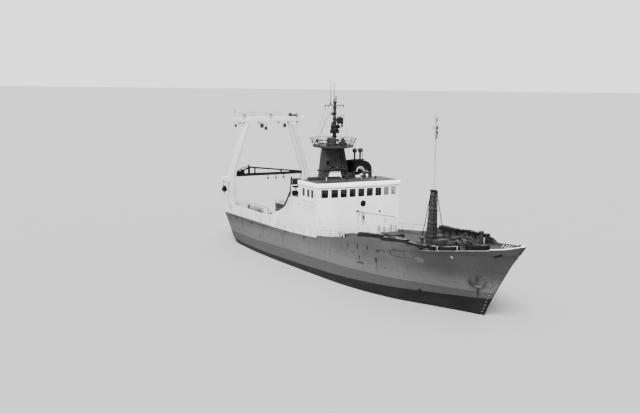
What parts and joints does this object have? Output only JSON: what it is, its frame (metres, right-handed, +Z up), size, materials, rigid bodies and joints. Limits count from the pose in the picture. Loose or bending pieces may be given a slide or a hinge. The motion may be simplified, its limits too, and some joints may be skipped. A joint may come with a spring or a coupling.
{
  "type": "stern trawler, 1:2 scale model",
  "caption": "Steel stern trawler at half scale: raked bow, white wheelhouse over the full beam, tapered masts, trawl winch, stern ramp and white gantry.",
  "frame": {"origin": "on the centreline at the waterline, amidships", "axes": "+X forward to the bow, +Y to port, +Z up"},
  "size_m": [23.08, 5.8, 11.475],
  "materials": {
    "hull_paint": "weathered satin grey",
    "white_paint": "chalky white",
    "pale_paint": "pale grey, worn",
    "deck_paint": "rough grey deck paint",
    "dark_paint": "sooty near-black",
    "rusty_paint": "dark grey with rust",
    "worn_steel": "worn and rusted",
    "bronze": "dull"
  },
  "bodies": {
    "ship": {"hull": "hull_paint", "house_front_wall": "white_paint", "house_aft_wall": "white_paint", "bridge_deck": "deck_paint", "wheelhouse_aft_wall": "white_paint", "wheelhouse_roof": "white_paint", "mast_platform": "dark_paint", "mast_web": "dark_paint", "mast_bar": "dark_paint", "mast_pole": "dark_paint", "mast_drum_housing": "dark_paint", "radar_lower_pedestal": "dark_paint", "funnel_casing": "dark_paint", "exhaust_inner": "dark_paint", "exhaust_outer": "dark_paint", "mast_locker": "white_paint", "raft_canister": "white_paint", "gantry_beam": "white_paint", "gantry_truss": "dark_paint", "foremast": "rusty_paint", "foremast_light_pole": "pale_paint", "windlass_frame": "dark_paint", "winch_frame": "dark_paint", "fore_hatch_coaming": "deck_paint", "fish_hatch_coaming": "deck_paint", "fore_bulwark_port": "hull_paint", "aft_bulwark_port": "white_paint", "house_side_wall_port": "white_paint", "mast_leg_port": "dark_paint", "gantry_leg_port": "white_paint", "fore_bollard_port": "dark_paint", "aft_bollard_port": "dark_paint", "anchor_port": "worn_steel", "fore_bulwark_starboard": "hull_paint", "aft_bulwark_starboard": "white_paint", "house_side_wall_starboard": "white_paint", "mast_leg_starboard": "dark_paint", "gantry_leg_starboard": "white_paint", "fore_bollard_starboard": "dark_paint", "aft_bollard_starboard": "dark_paint", "anchor_starboard": "worn_steel"},
    "propeller": {"propeller": "bronze"},
    "rudder": {"rudder": "dark_paint"},
    "radar_upper": {"radar_upper_scanner": "dark_paint"},
    "radar_lower": {"radar_lower_scanner": "dark_paint"},
    "windlass": {"windlass_drum": "worn_steel"},
    "winch_port": {"winch_drum_port": "worn_steel"},
    "winch_starboard": {"winch_drum_starboard": "worn_steel"},
    "fore_hatch": {"fore_hatch_lid": "deck_paint"},
    "fish_hatch": {"fish_hatch_lid": "deck_paint"},
    "house_door": {"house_door": "white_paint"},
    "wheelhouse_door": {"wheelhouse_door": "white_paint"},
    "block_port": {"gantry_block_port": "dark_paint"},
    "block_starboard": {"gantry_block_starboard": "dark_paint"}
  },
  "joints": [
    {"name": "propeller_spin", "type": "hinge", "parent": "ship", "child": "propeller", "pos_m": [-9.475, 0, -1.275], "axis": [1, 0, 0], "continuous": true},
    {"name": "rudder_turn", "type": "hinge", "parent": "ship", "child": "rudder", "pos_m": [-10.275, 0, -1], "axis": [0, 0, 1], "range_deg": [-35, 35]},
    {"name": "radar_upper_spin", "type": "hinge", "parent": "ship", "child": "radar_upper", "pos_m": [-2.7, 0, 7.46], "axis": [0, 0, 1], "continuous": true},
    {"name": "radar_lower_spin", "type": "hinge", "parent": "ship", "child": "radar_lower", "pos_m": [-3, 0.35, 6.375], "axis": [0, 0, 1], "continuous": true},
    {"name": "windlass_spin", "type": "hinge", "parent": "ship", "child": "windlass", "pos_m": [7.45, 0, 2.71], "axis": [0, 1, 0], "continuous": true},
    {"name": "winch_port_spin", "type": "hinge", "parent": "ship", "child": "winch_port", "pos_m": [-5, 0.5, 2.225], "axis": [0, 1, 0], "continuous": true},
    {"name": "winch_starboard_spin", "type": "hinge", "parent": "ship", "child": "winch_starboard", "pos_m": [-5, -0.5, 2.225], "axis": [0, 1, 0], "continuous": true},
    {"name": "fore_hatch_open", "type": "hinge", "parent": "ship", "child": "fore_hatch", "pos_m": [2.745, 0, 2.33265], "axis": [0, 1, 0], "range_deg": [0, 100]},
    {"name": "fish_hatch_open", "type": "hinge", "parent": "ship", "child": "fish_hatch", "pos_m": [-6.605, 0, 1.90883], "axis": [0, 1, 0], "range_deg": [0, 100]},
    {"name": "house_door_open", "type": "hinge", "parent": "ship", "child": "house_door", "pos_m": [-3.625, -1.2, 2.3], "axis": [0, 0, 1], "range_deg": [0, 110]},
    {"name": "wheelhouse_door_open", "type": "hinge", "parent": "ship", "child": "wheelhouse_door", "pos_m": [-2.625, -1.45, 3.9], "axis": [0, 0, 1], "range_deg": [0, 90]},
    {"name": "block_port_swing", "type": "hinge", "parent": "ship", "child": "block_port", "pos_m": [-10.7, 2.75, 3.33], "axis": [1, 0, 0], "range_deg": [-25, 60]},
    {"name": "block_starboard_swing", "type": "hinge", "parent": "ship", "child": "block_starboard", "pos_m": [-10.7, -2.75, 3.33], "axis": [1, 0, 0], "range_deg": [-60, 25]}
  ]
}
